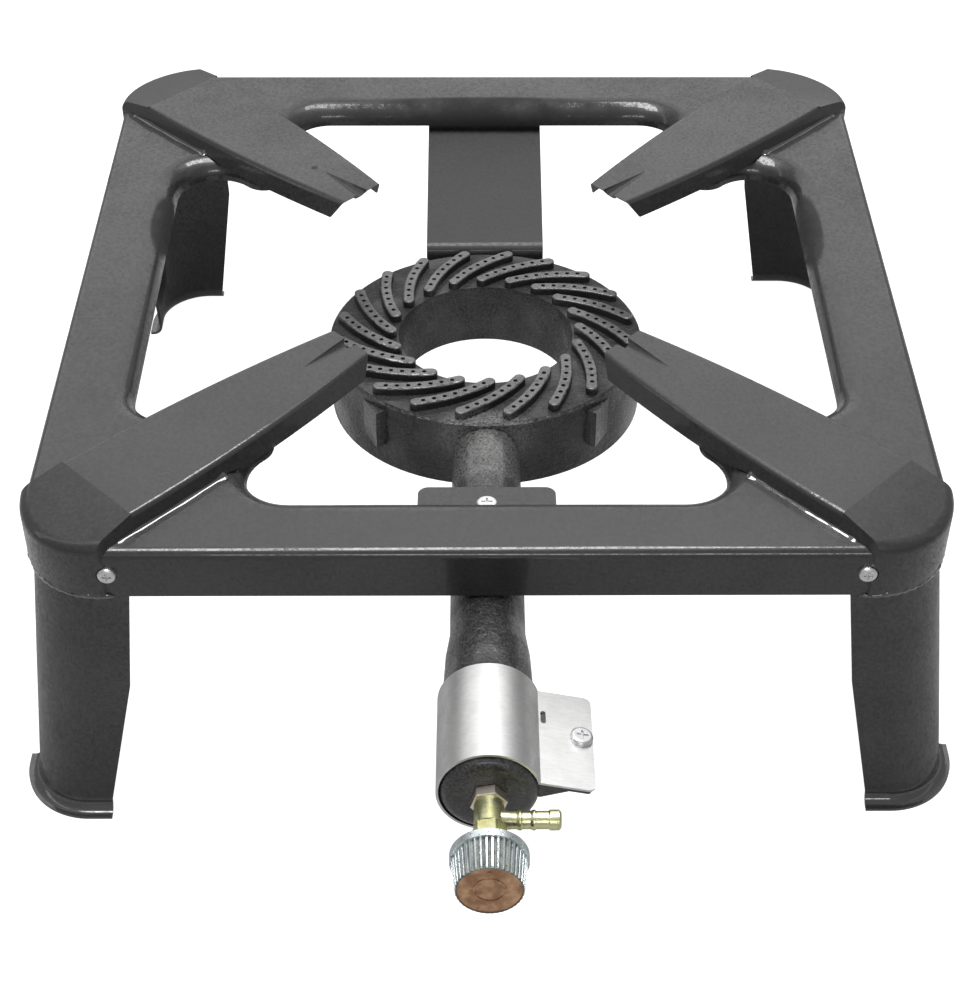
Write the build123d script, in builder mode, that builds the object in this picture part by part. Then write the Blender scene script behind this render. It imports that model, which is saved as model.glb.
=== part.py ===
from build123d import *
import math
import os

# Low gas burner stove: a square frame pressed from sheet stands on four bent legs. Four channel
# arms with corner caps carry the pan. A cast ring burner hangs between two straps, and its mixing
# tube runs out under the front rail to an air shutter band and a brass needle valve.
# The origin lies on the ground under the centre of the frame, +Z is up and the valve points to -Y.

# Frame ring
frame_side = 400.0
frame_top = 153.0
frame_corner_radius = 36.0
frame_sheet = 1.2
rail_width = 37.0
rail_edge_radius = 4.0
skirt_depth = 25.0
lip_radius = 11.0
lip_depth = 11.5
tongue_half_width = 19.0
tongue_corner_radius = 12.0
tongue_tip_radius = 148.0
opening_corner_radius = 21.0
cut_overrun = 2.0

# Pan arms and their corner caps
arm_sheet = 1.2
arm_rise = 8.0
arm_wall_height = 10.2
arm_wall_splay = 16.0
arm_fold_radius = 2.6
arm_tip_radius = 90.0
arm_tip_half_width = 12.8
arm_middle_half_width = 21.5
arm_root_half_width = 24.3
arm_tip_slant = 6.5
arm_rest_end = 184.0
arm_rest_slope = 13.0
arm_groove_length = 34.0
arm_groove_radius = 3.8
groove_raise = 0.5
cap_length = 31.5
cap_drop = 5.6
cap_flare = 1.1
cap_skirt_depth = 24.0
cap_edge_radius = 5.2

# Legs
leg_sheet = 1.5
leg_top_drop = 4.4
leg_kink_depth = 78.0
leg_foot_bend = 27.0
# Each leg: lean to its side, lean to its front or rear, then the widths of its front or rear flange
# at the top and at the foot, and of its side flange at the top and at the foot.
leg_sizes = {
    "front_left": (5.6, 5.2, 46.0, 37.5, 46.0, 33.0),
    "front_right": (7.3, 3.6, 43.8, 38.6, 46.0, 34.0),
    "rear_left": (-1.5, -1.5, 46.0, 34.4, 46.0, 37.0),
    "rear_right": (5.4, 5.8, 48.0, 42.5, 46.0, 38.0),
}
foot_bend_radius = 4.4
foot_lip_flat = 1.4

# Leg screws and nuts
leg_screw_offset = 39.5
leg_screw_drop = 12.0
leg_screw_radius = 2.0
leg_screw_head_radius = 4.0
leg_screw_head_height = 2.2
leg_screw_length = 8.5
leg_nut_flats = 7.0
leg_nut_height = 3.2
screw_clearance = 0.1
slot_clearance = 0.15
leg_nut_turn = 30
notch_clearance = 0.5
recess_width = 0.9
recess_depth = 0.9

# Burner casting, set in a frame of its own that leans up towards the valve
burner_top = 118.0
burner_lean = 3.5
ring_radius = 78.5
ring_eye_radius = 44.0
ring_eye_foot_radius = 42.5
ring_height = 36.0
ring_floor_depth = 31.0
ring_wall = 4.0
ring_edge_chamfer = 1.2
rib_count = 20
rib_inner_margin = 3.5
rib_outer_margin = 5.5
rib_middle_share = 0.47
rib_sweep = 29.5
rib_middle_sweep = 15.4
rib_width = 5.8
rib_height = 4.0
rib_edge_radius = 0.8
ports_per_rib = 7
port_radius = 1.1
lug_angle = 39.5
lug_sweep = 14.0
lug_reach = 5.0
lug_drop = 4.0
lug_height = 20.0
rear_boss_radius = 8.0

# Mixing tube and bell
tube_drop = 19.0
tube_radius = 16.2
tube_wall = 3.7
neck_length = 129.5
flare_length = 14.0
flare_radius = 17.9
shoulder_length = 25.0
shoulder_radius = 18.9
bell_radius = 19.9
bell_length = 54.0
bell_wall = 3.4
bell_end_wall = 5.0
bell_nose_radius = 5.0
window_width = 22.0
window_length = 11.0
window_setback = 5.0
pad_width = 17.0
pad_length = 18.0
pad_height = 0.6
pad_station = 141.0

# Straps that carry the burner
strap_width = 62.5
strap_sheet = 2.0
strap_bend_radius = 5.0
strap_foot_bend = 3.0
rear_strap_bend_drop = 15.5
rear_strap_gap = 2.2
front_strap_reach = 42.0
strap_corner_radius = 5.0
strap_screw_radius = 2.5
strap_screw_head_radius = 5.0
strap_screw_head_height = 2.7
strap_screw_length = 8.0

# Air shutter band, its clamp screw and the cast ear behind it
band_sheet = 1.0
band_clearance = 0.08
band_length = 52.0
band_setback = 2.0
band_gap_angle = 26.0
flap_height = 9.1
flap_reach = 41.0
flap_angle = 12.3
flap_corner_radius = 1.6
slit_setback = 39.0
slit_reach = 20.6
slit_length = 7.0
slit_width = 2.2
ear_clearance = 0.1
ear_thickness = 2.6
ear_root_reach = 31.0
ear_tip_reach = 40.0
ear_setback = 3.5
ear_length = 46.0
shutter_travel = 12.0
clamp_setback = 30.0
clamp_reach = 36.0
clamp_screw_radius = 2.5
clamp_screw_head_radius = 4.8
clamp_screw_head_height = 2.5
clamp_screw_length = 9.0
clamp_nut_flats = 8.0
clamp_nut_height = 3.6

# Needle valve
shank_radius = 5.0
shank_depth = 14.0
locknut_flats = 13.0
locknut_height = 4.8
locknut_turn = 12.0
body_radius = 6.0
body_length = 16.6
barb_setback = 12.4
barb_radius = 3.5
barb_rib_radius = 4.0
barb_bore_radius = 2.2
barb_length = 27.9
barb_rib_places = (11.7, 17.1)
barb_rib_width = 1.2
barb_head_start = 23.0
barb_chamfer = 0.9
jet_flats = 7.0
jet_length = 9.0
jet_tip_length = 3.0
jet_tip_radius = 2.4
jet_bore_radius = 0.5
jet_passage_radius = 1.6
gland_flats = 12.0
gland_height = 8.0
gland_wall = 1.5
gland_turn = 10.0
spindle_radius = 2.2
running_clearance = 0.05
valve_chamber_radius = 3.0

# Knob
knob_gap = 5.9
knob_depth = 17.4
knob_rim_radius = 15.3
knob_rim_width = 3.4
knob_face_radius = 13.3
knob_wall = 1.6
knob_flute_count = 40
knob_flute_radius = 0.75
knob_edge_radius = 0.7
knob_boss_radius = 4.6
knob_disc_radius = 12.4
knob_disc_sheet = 0.8
knob_disc_ring_radius = 6.4
knob_disc_ring_width = 0.8
knob_disc_ring_height = 0.35
knob_pointer_radius = 0.8

# Shares and small details
screw_head_round = 0.55
nut_chamfer_share = 0.08
rib_first_angle = 2.0
rib_root = 1.0
port_end_share = 0.09
tube_start = 60.0
bore_start = 64.0
shoulder_step = 3.0
lug_lean = 2.0
ear_inner_reach = 15.0
ear_foot_reach = 20.6
ear_foot_height = 0.4
flap_start = 17.0
strap_weld_length = 12.0
front_screw_length = 6.0
passage_length = 13.0
spigot_length = 3.5
spigot_radius = 4.5
jet_stem_length = 4.0
barb_stem_start = 3.1
barb_stem_radius = 2.8
barb_root_start = 4.0
barb_root_radius = 4.0
barb_root_end = 9.0
needle_lead = 1.4
needle_slope = 0.4
knob_disc_depth = 1.2
knob_front_wall = 2.2
knob_rim_step = 0.8

# Places worked out from the sizes above
half_side = frame_side / 2
opening_half = half_side - rail_width
skirt_foot = frame_top - skirt_depth
corner_reach = (half_side - frame_corner_radius) * math.sqrt(2) + frame_corner_radius
ridge_reach = corner_reach - cap_length
arm_top = frame_top + arm_rise
arm_splay_width = math.tan(math.radians(arm_wall_splay))
diagonal_dir = (-1, -1, 0)

rib_inner_radius = ring_eye_radius + rib_inner_margin
rib_outer_radius = ring_radius - rib_outer_margin
rib_middle_radius = rib_inner_radius + rib_middle_share * (rib_outer_radius - rib_inner_radius)
rear_boss_offset = (ring_eye_radius + ring_radius) / 2
neck_end = ring_radius + neck_length
flare_end = neck_end + flare_length
bell_start = flare_end + shoulder_length
bell_end = bell_start + bell_length
band_front = bell_end - band_setback
band_back = band_front - band_length
clamp_station = bell_end - clamp_setback
slit_station = bell_end - slit_setback
locknut_end = bell_end + locknut_height
body_end = bell_end + body_length
gland_end = body_end + gland_height
knob_back = gland_end + knob_gap
knob_front = knob_back + knob_depth
barb_station = bell_end + barb_setback

lean = math.radians(burner_lean)
lean_up = (0, math.sin(lean), math.cos(lean))
burner_plane = Plane(origin=(0, 0, burner_top), x_dir=(1, 0, 0), z_dir=lean_up)
burner_axis = Axis(burner_plane.origin, burner_plane.z_dir)
ring_side_plane = Plane(origin=burner_plane.origin, x_dir=burner_plane.x_dir, z_dir=-burner_plane.y_dir)
tube_origin = burner_plane.origin - burner_plane.z_dir * tube_drop
tube_dir = -burner_plane.y_dir
tube_plane = Plane(origin=tube_origin, x_dir=tube_dir, z_dir=-burner_plane.x_dir)
tube_axis = Axis(tube_origin, tube_dir)


def across_tube(station, turn=0):
    """Plane square to the tube at a distance from the ring's centre; local Y points up."""
    spin = math.radians(turn)
    x_dir = burner_plane.x_dir * math.cos(spin) + burner_plane.z_dir * math.sin(spin)
    return Plane(origin=tube_origin + tube_dir * station, x_dir=x_dir, z_dir=tube_dir)


def strap_point(reach, depth):
    """World Y and Z of a point in the burner's own frame, on its centre plane."""
    point = burner_plane.origin + burner_plane.y_dir * reach - burner_plane.z_dir * depth
    return (point.Y, point.Z)


os.makedirs("parts", exist_ok=True)


def save(piece, label):
    piece.part.label = label
    export_step(piece.part, f"parts/{label}.step")


# Frame ring: one pressing with an outer skirt, a rolled inner lip and a tongue under each arm


def opening_outline(grow):
    """Central opening of the frame, grown outwards by the given amount."""
    reach = corner_reach - tongue_tip_radius
    with BuildSketch() as outline:
        Rectangle(2 * opening_half, 2 * opening_half)
        with PolarLocations(tongue_tip_radius + reach / 2, 4, start_angle=45):
            Rectangle(reach, 2 * tongue_half_width, mode=Mode.SUBTRACT)
        edge_line = opening_half - cut_overrun
        edge_points = [v for v in outline.vertices() if max(abs(v.X), abs(v.Y)) > edge_line]
        fillet(edge_points, radius=opening_corner_radius)
        tip_circle = math.hypot(tongue_tip_radius, tongue_half_width) + cut_overrun
        tip_points = [v for v in outline.vertices() if math.hypot(v.X, v.Y) < tip_circle]
        fillet(tip_points, radius=tongue_corner_radius)
        if grow:
            offset(amount=grow, mode=Mode.REPLACE)
    return outline.sketch


def pressing(inset, opening):
    """Solid frame form, shrunk by the sheet thickness on every side for the hollow beneath it."""
    side = frame_side - 2 * inset
    top = frame_top - inset
    with BuildPart() as form:
        with BuildSketch(Plane.XY.offset(skirt_foot)):
            RectangleRounded(side, side, frame_corner_radius - inset)
            add(opening, mode=Mode.SUBTRACT)
        extrude(amount=top - skirt_foot)
        face = form.faces().sort_by(Axis.Z)[-1]
        fillet(face.outer_wire().edges(), radius=rail_edge_radius - inset)
        face = form.faces().sort_by(Axis.Z)[-1]
        fillet(face.inner_wires()[0].edges(), radius=lip_radius - inset)
    return form.part


opening = opening_outline(0)
wide_opening = opening_outline(frame_sheet)
frame_form = pressing(0, opening)
frame_hollow = pressing(frame_sheet, wide_opening)

with BuildPart() as frame_ring:
    add(frame_form)
    add(frame_hollow, mode=Mode.SUBTRACT)
    with BuildSketch(Plane.XY.offset(skirt_foot)):
        add(wide_opening)
    extrude(amount=skirt_depth - lip_depth, mode=Mode.SUBTRACT)
    for side in (-1, 1):
        screw_row = (0, side * half_side, frame_top - leg_screw_drop)
        with BuildSketch(Plane(origin=screw_row, x_dir=(1, 0, 0), z_dir=(0, side, 0))):
            with Locations((half_side - leg_screw_offset, 0), (leg_screw_offset - half_side, 0)):
                Circle(leg_screw_radius + screw_clearance)
        extrude(amount=-2 * frame_sheet, mode=Mode.SUBTRACT)
save(frame_ring, "frame_ring")

# Pan arm with its corner cap, made for the front left corner in a frame along the diagonal


def diagonal_plane(height):
    """Level plane whose local X runs out along the diagonal."""
    return Plane(origin=(0, 0, height), x_dir=diagonal_dir, z_dir=(0, 0, 1))


def diagonal_wall(height):
    """Upright plane through the diagonal, with its origin on the centre line at a height."""
    return Plane(origin=(0, 0, height), x_dir=diagonal_dir, z_dir=(-1, 1, 0))


def arm_outline(height, widen, tip, root):
    """Outline of an arm from above: two bowed sides, a square tip and a square root."""
    half_tip = arm_tip_half_width + widen
    half_middle = arm_middle_half_width + widen
    half_root = arm_root_half_width + widen
    middle = (tip + root) / 2
    with BuildSketch(diagonal_plane(height)) as outline:
        with BuildLine():
            ThreePointArc((tip, half_tip), (middle, half_middle), (root, half_root))
            Line((root, half_root), (root, -half_root))
            ThreePointArc((root, -half_root), (middle, -half_middle), (tip, -half_tip))
            Line((tip, -half_tip), (tip, half_tip))
        make_face()
    return outline.sketch


def arm_form(inset, foot_overrun):
    """Solid arm with splayed sides; the inset form is the space under the sheet."""
    top = arm_top - inset
    foot = arm_top - arm_wall_height - foot_overrun
    tip = arm_tip_radius - (cut_overrun if inset else 0)
    spread = arm_splay_width * (top - foot)
    shrink = inset / math.cos(math.radians(arm_wall_splay)) - arm_splay_width * inset
    upper = arm_outline(top, -shrink, tip, ridge_reach)
    lower = arm_outline(foot, spread - shrink, tip, ridge_reach)
    with BuildPart() as form:
        loft([lower, upper], ruled=True)
        face = form.faces().sort_by(Axis.Z)[-1]
        folds = face.edges().filter_by(GeomType.LINE, reverse=True)
        fillet(folds, radius=arm_fold_radius - inset)
        groove_slope = arm_groove_radius / arm_groove_length
        groove_start = arm_tip_radius - 2 * cut_overrun
        groove_end = arm_tip_radius + (arm_groove_radius + inset) / groove_slope
        with BuildSketch(diagonal_wall(arm_top + groove_raise)):
            with BuildLine():
                Polyline(
                    (groove_start, 0),
                    (groove_start, -(groove_end - groove_start) * groove_slope),
                    (groove_end, 0),
                    (groove_start, 0),
                )
            make_face()
        revolve(axis=Axis((0, 0, arm_top + groove_raise), diagonal_dir), mode=Mode.SUBTRACT)
    return form.part


with BuildPart() as frame_block:
    with BuildSketch(Plane.XY.offset(skirt_foot - cut_overrun)):
        RectangleRounded(frame_side, frame_side, frame_corner_radius)
    extrude(amount=skirt_depth + cut_overrun)
    fillet(frame_block.faces().sort_by(Axis.Z)[-1].edges(), radius=rail_edge_radius)


def cap_wedge(inset):
    """Corner cap between the arm's root and past the frame's corner, before it meets the skirt."""
    shrink = inset / math.cos(math.radians(arm_wall_splay))
    root = ridge_reach - (cut_overrun if inset else 0)
    end = corner_reach + 2 * cap_length
    flare = cap_flare * (end - root) / cap_length
    foot = frame_top - cap_skirt_depth - (cut_overrun if inset else 0)

    def wedge(height, widen):
        near = arm_root_half_width + widen - shrink
        far = near + flare
        with BuildSketch(diagonal_plane(height)) as outline:
            Polygon((root, near), (root, -near), (end, -far), (end, far), align=None)
        return outline.sketch

    low_spread = arm_splay_width * arm_rise
    foot_wedge = wedge(foot, low_spread)
    middle_wedge = wedge(frame_top, low_spread)
    top_wedge = wedge(arm_top, 0)
    with BuildPart() as form:
        loft([middle_wedge, top_wedge], ruled=True)
        extrude(foot_wedge, amount=frame_top - foot)
    return form.part


def cap_form(inset, wedge_form):
    """Corner cap: falls from the ridge to the rounded corner, then turns down as a skirt."""
    side = half_side + arm_sheet - inset
    foot = frame_top - cap_skirt_depth - (cut_overrun if inset else 0)
    top = arm_top - inset
    near = half_side / 3
    bend = frame_corner_radius + arm_sheet - inset
    with BuildPart() as form:
        with BuildSketch(Plane.XY.offset(foot)):
            with BuildLine():
                FilletPolyline((-near, -side), (-side, -side), (-side, -near), radius=bend)
                Polyline((-side, -near), (-near, -near), (-near, -side))
            make_face()
        extrude(amount=top - foot)
        with BuildSketch(diagonal_wall(top)):
            with BuildLine():
                Polyline(
                    (ridge_reach, 0),
                    (ridge_reach + 2 * cap_length, 2 * cap_drop),
                    (ridge_reach + 2 * cap_length, -2 * cap_drop),
                    (ridge_reach, 0),
                )
            make_face()
        extrude(amount=frame_side, both=True, mode=Mode.SUBTRACT)
        rim_foot = top - 2 * cap_drop
        rim_line = frame_corner_radius / 2 - half_side
        upper = [e for e in form.edges() if e.bounding_box().min.Z > rim_foot]
        rim = [e for e in upper if min(e.center().X, e.center().Y) < rim_line]
        fillet(rim, radius=cap_edge_radius - inset)
        add(wedge_form, mode=Mode.INTERSECT)
    return form.part


arm_solid = arm_form(0, 0)
arm_hollow = arm_form(arm_sheet, cut_overrun)
cap_solid = cap_form(0, cap_wedge(0)) - frame_block.part
cap_hollow = cap_form(arm_sheet, cap_wedge(arm_sheet))

with BuildPart() as pan_arm:
    add(arm_solid)
    with BuildSketch(diagonal_wall(frame_top)):
        with BuildLine():
            Polyline(
                (arm_rest_end, 0),
                (ridge_reach + cap_length, 0),
                (ridge_reach + cap_length, -2 * arm_wall_height),
                (arm_rest_end - arm_rest_slope, -2 * arm_wall_height),
                (arm_rest_end - arm_rest_slope, arm_rise - arm_wall_height),
                (arm_rest_end, 0),
            )
        make_face()
        with BuildLine():
            Polyline(
                (arm_tip_radius, arm_rise),
                (arm_tip_radius + arm_tip_slant, arm_rise - arm_wall_height),
                (arm_tip_radius + arm_tip_slant, -2 * arm_wall_height),
                (arm_tip_radius - cut_overrun, -2 * arm_wall_height),
                (arm_tip_radius - cut_overrun, arm_rise),
                (arm_tip_radius, arm_rise),
            )
        make_face()
    extrude(amount=frame_side, both=True, mode=Mode.SUBTRACT)
    add(cap_solid)
    add(arm_hollow, mode=Mode.SUBTRACT)
    add(cap_hollow, mode=Mode.SUBTRACT)
    screw_face = Plane(
        origin=(leg_screw_offset - half_side, -half_side - cut_overrun, frame_top - leg_screw_drop),
        x_dir=(1, 0, 0),
        z_dir=(0, 1, 0),
    )
    with BuildSketch(screw_face):
        Circle(leg_screw_head_radius + notch_clearance)
    extrude(amount=cut_overrun, mode=Mode.SUBTRACT)

# Leg: a bent angle whose top nests in the frame's corner, leaning out below the skirt

foot_height = foot_bend_radius + leg_sheet
kink_height = frame_top - leg_kink_depth
leg_bend = frame_corner_radius - frame_sheet


def leg_section(height, side, face, face_width, side_width, bend):
    """Bent angle at a height: its outer corner lies at the given side and face distances."""
    with BuildSketch(Plane(origin=(-side, -face, height), x_dir=(1, 0, 0), z_dir=(0, 0, 1))) as section:
        with BuildLine():
            outer = FilletPolyline((face_width, 0), (0, 0), (0, side_width), radius=bend)
            inner = FilletPolyline(
                (face_width, leg_sheet),
                (leg_sheet, leg_sheet),
                (leg_sheet, side_width),
                radius=bend - leg_sheet,
            )
            Line(outer @ 0, inner @ 0)
            Line(outer @ 1, inner @ 1)
        make_face()
    return section.sketch


def leg_form(side_lean, face_lean, face_width, face_foot, side_width, side_foot):
    """Front left leg of the given leans and widths, with its foot curled outwards."""
    side_slope = math.tan(math.radians(side_lean))
    face_slope = math.tan(math.radians(face_lean))
    inside = half_side - frame_sheet
    kink_fall = skirt_foot - kink_height
    foot_fall = skirt_foot - foot_height
    kink_side = inside + side_slope * kink_fall
    kink_face = inside + face_slope * kink_fall
    kink_bend = (leg_bend + leg_foot_bend) / 2
    side = inside + side_slope * foot_fall
    face = inside + face_slope * foot_fall
    sections = [
        leg_section(foot_height, side, face, face_foot, side_foot, leg_foot_bend),
        leg_section(kink_height, kink_side, kink_face, face_width, side_width, kink_bend),
        leg_section(skirt_foot, inside, inside, face_width, side_width, leg_bend),
        leg_section(frame_top - leg_top_drop, inside, inside, face_width, side_width, leg_bend),
    ]
    path_plane = Plane(origin=(-side, -face, foot_height), x_dir=(1, 0, 0), z_dir=(0, 0, 1))
    curl_start = (face_foot - side, -face, foot_height)
    with BuildPart() as form:
        loft(sections, ruled=True)
        with BuildLine(path_plane) as foot_path:
            FilletPolyline((face_foot, 0), (0, 0), (0, side_foot), radius=leg_foot_bend)
        with BuildSketch(Plane(origin=curl_start, x_dir=(0, -1, 0), z_dir=(-1, 0, 0))):
            with BuildLine():
                Line((0, 0), (-leg_sheet, 0))
                CenterArc((foot_bend_radius, 0), foot_height, 180, 90)
                Polyline(
                    (foot_bend_radius, -foot_height),
                    (foot_bend_radius + foot_lip_flat, -foot_height),
                    (foot_bend_radius + foot_lip_flat, -foot_bend_radius),
                    (foot_bend_radius, -foot_bend_radius),
                )
                CenterArc((foot_bend_radius, 0), foot_bend_radius, 180, 90)
            make_face()
        sweep(path=foot_path.wires()[0])
        with BuildSketch(screw_face):
            Circle(leg_screw_radius + screw_clearance)
        extrude(amount=half_side / 2, mode=Mode.SUBTRACT)
    return form.part


corner_mirrors = {
    "front_left": (),
    "front_right": (Plane.YZ,),
    "rear_left": (Plane.XZ,),
    "rear_right": (Plane.YZ, Plane.XZ),
}


def mirrored(shape, planes):
    for plane in planes:
        shape = shape.mirror(plane)
    return shape


for corner, planes in corner_mirrors.items():
    arm_copy = mirrored(pan_arm.part, planes)
    leg_copy = mirrored(leg_form(*leg_sizes[corner]), planes)
    with BuildPart() as corner_arm:
        add(arm_copy)
    save(corner_arm, f"pan_arm_{corner}")
    with BuildPart() as corner_leg:
        add(leg_copy)
    save(corner_leg, f"leg_{corner}")


# Screws with a cross recess and hexagon nuts, laid out along an axis that points out of the head


def screw_blank(seat, head_radius, head_height, shank_radius, shank_length):
    """Pan head screw: the seat plane lies under the head and its normal points out of the head."""
    with BuildPart() as blank:
        with BuildSketch(seat):
            Circle(head_radius)
        extrude(amount=head_height)
        outer = blank.faces().filter_by(GeomType.PLANE).sort_by(Axis(seat.origin, seat.z_dir))[-1]
        fillet(outer.edges(), radius=head_height * screw_head_round)
        with BuildSketch(seat):
            Circle(shank_radius)
        extrude(amount=-shank_length)
        recess_plane = seat.offset(head_height - recess_depth)
        with BuildSketch(recess_plane):
            Rectangle(head_radius, recess_width)
            Rectangle(recess_width, head_radius)
        extrude(amount=head_height, mode=Mode.SUBTRACT)
    return blank.part


def nut_blank(seat, flats, height, hole_radius, turn=0):
    """Hexagon nut that starts on the seat plane and grows along its normal."""
    with BuildPart() as blank:
        with BuildSketch(seat):
            RegularPolygon(flats / 2, 6, major_radius=False, rotation=turn)
        extrude(amount=height)
        ends = blank.faces().filter_by(GeomType.PLANE).group_by(Axis(seat.origin, seat.z_dir))
        chamfer(ends[0].edges() + ends[-1].edges(), length=height * nut_chamfer_share)
        with BuildSketch(seat):
            Circle(hole_radius)
        extrude(amount=height, mode=Mode.SUBTRACT)
    return blank.part


leg_screw_spot = (leg_screw_offset - half_side, -half_side, frame_top - leg_screw_drop)
leg_screw_seat = Plane(origin=leg_screw_spot, x_dir=(1, 0, 0), z_dir=(0, -1, 0))
leg_screw = screw_blank(
    leg_screw_seat, leg_screw_head_radius, leg_screw_head_height, leg_screw_radius, leg_screw_length
)
leg_nut_spot = leg_screw_seat.origin + Vector(0, frame_sheet + leg_sheet, 0)
leg_nut_seat = Plane(origin=leg_nut_spot, x_dir=(1, 0, 0), z_dir=(0, 1, 0))
leg_nut = nut_blank(leg_nut_seat, leg_nut_flats, leg_nut_height, leg_screw_radius, leg_nut_turn)
screw_copies = [mirrored(leg_screw, planes) for planes in corner_mirrors.values()]
nut_copies = [mirrored(leg_nut, planes) for planes in corner_mirrors.values()]

with BuildPart() as leg_screws:
    for copy in screw_copies:
        add(copy)
save(leg_screws, "leg_screws")

with BuildPart() as leg_nuts:
    for copy in nut_copies:
        add(copy)
save(leg_nuts, "leg_nuts")

# Burner casting: ring with eye, spiral ribs and ports, strap lugs, mixing tube, bell and cast ear


def polar(radius, angle):
    """Point in the burner's plane; the angle runs from the front towards the right."""
    spot = math.radians(angle)
    return (radius * math.sin(spot), -radius * math.cos(spot))


def rib_line(start):
    with BuildLine() as line:
        ThreePointArc(
            polar(rib_inner_radius, start),
            polar(rib_middle_radius, start - rib_middle_sweep),
            polar(rib_outer_radius, start - rib_sweep),
        )
    return line.edges()[0]


rib_pitch = 360 / rib_count
first_rib = rib_line(rib_first_angle)
cavity_inner = ring_eye_radius + ring_wall
cavity_outer = ring_radius - ring_wall
port_step = (1 - 2 * port_end_share) / (ports_per_rib - 1)
port_shares = [port_end_share + port_step * k for k in range(ports_per_rib)]
port_spots = [first_rib @ share for share in port_shares]
port_reaches = [math.hypot(spot.X, spot.Y) for spot in port_spots]
port_turns = [math.degrees(math.atan2(spot.Y, spot.X)) for spot in port_spots]

with BuildPart() as one_rib:
    with BuildSketch(Plane.XY.offset(-rib_root)) as rib_sketch:
        SlotArc(first_rib, height=rib_width)
    extrude(amount=rib_root + rib_height)
    fillet(one_rib.faces().sort_by(Axis.Z)[-1].edges(), radius=rib_edge_radius)

rib_copies = [one_rib.part.rotate(Axis.Z, rib_pitch * k) for k in range(rib_count)]
rib_copies = [burner_plane.from_local_coords(copy) for copy in rib_copies]

with BuildPart() as ring_form:
    with BuildSketch(ring_side_plane):
        with BuildLine():
            Polyline(
                (ring_eye_radius, 0),
                (ring_radius, 0),
                (ring_radius, -ring_height),
                (cavity_outer, -ring_height),
                (cavity_outer, -ring_floor_depth),
                (ring_eye_foot_radius, -ring_floor_depth),
                (ring_eye_radius, 0),
            )
        make_face()
    revolve(axis=burner_axis)
    chamfer(ring_form.faces().sort_by(burner_axis)[-1].outer_wire().edges(), length=ring_edge_chamfer)

tube_profile = [
    (tube_start, 0),
    (tube_start, tube_radius),
    (neck_end, tube_radius),
    (flare_end, flare_radius),
    (bell_start - shoulder_step, shoulder_radius),
    (bell_start, bell_radius),
    (bell_end, bell_radius),
    (bell_end, 0),
    (tube_start, 0),
]
bore_radius = tube_radius - tube_wall
chamber_radius = bell_radius - bell_wall
bore_profile = [
    (bore_start, 0),
    (bore_start, bore_radius),
    (neck_end, bore_radius),
    (bell_start - shoulder_step, chamber_radius),
    (bell_end - bell_end_wall, chamber_radius),
    (bell_end - bell_end_wall, 0),
    (bore_start, 0),
]

with BuildPart() as tube_form:
    with BuildSketch(tube_plane):
        with BuildLine():
            Polyline(*tube_profile)
        make_face()
    revolve(axis=tube_axis)
    nose = tube_form.faces().filter_by(GeomType.PLANE).sort_by(tube_axis)[-1]
    fillet(nose.edges(), radius=bell_nose_radius)

with BuildPart() as tube_hollow:
    with BuildSketch(tube_plane):
        with BuildLine():
            Polyline(*bore_profile)
        make_face()
    revolve(axis=tube_axis)

ear_back = bell_end - ear_setback - ear_length
ear_top = flap_height - band_sheet / 2 - ear_clearance
ear_plane = across_tube(ear_back, -flap_angle)
clamp_origin = across_tube(clamp_station, -flap_angle).from_local_coords(Vector(clamp_reach, ear_top, 0))
clamp_up = across_tube(0, -flap_angle).y_dir
clamp_plane = Plane(origin=clamp_origin, x_dir=-tube_dir, z_dir=clamp_up)
clamp_side = Axis(clamp_origin, across_tube(0, -flap_angle).x_dir)

with BuildPart() as ear_form:
    with BuildSketch(ear_plane):
        with BuildLine():
            Polyline(
                (ear_inner_reach, ear_top),
                (ear_tip_reach, ear_top),
                (ear_tip_reach, ear_top - ear_thickness),
                (ear_root_reach, ear_top - ear_thickness),
                (ear_foot_reach, ear_foot_height),
                (ear_inner_reach, ear_foot_height),
                (ear_inner_reach, ear_top),
            )
        make_face()
    extrude(amount=ear_length)
    outer_edges = ear_form.edges().filter_by(Axis(clamp_origin, clamp_up))
    outer_edges = outer_edges.sort_by(clamp_side)[-2:]
    fillet(outer_edges, radius=flap_corner_radius)
    with BuildSketch(clamp_plane):
        with Locations((shutter_travel / 2, 0)):
            SlotCenterToCenter(shutter_travel, 2 * (clamp_screw_radius + slot_clearance))
    extrude(amount=-2 * ear_thickness, mode=Mode.SUBTRACT)

port_places = [
    (reach, math.radians(turn + rib_pitch * k))
    for reach, turn in zip(port_reaches, port_turns)
    for k in range(rib_count)
]
port_list = [(reach * math.cos(spot), reach * math.sin(spot)) for reach, spot in port_places]
lug_points = [
    [
        polar(cavity_outer, sign * (lug_angle - lug_lean)),
        polar(ring_radius + lug_reach, sign * lug_angle),
        polar(ring_radius - ring_edge_chamfer, sign * (lug_angle + lug_sweep)),
        polar(cavity_outer, sign * (lug_angle + lug_sweep)),
    ]
    for sign in (-1, 1)
]
window_plane = Plane(origin=tube_origin, x_dir=tube_dir, z_dir=-burner_plane.z_dir)
jet_end = bell_end - shank_depth
chamber_start = jet_end + passage_length
spigot_end = body_end + spigot_length

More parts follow.
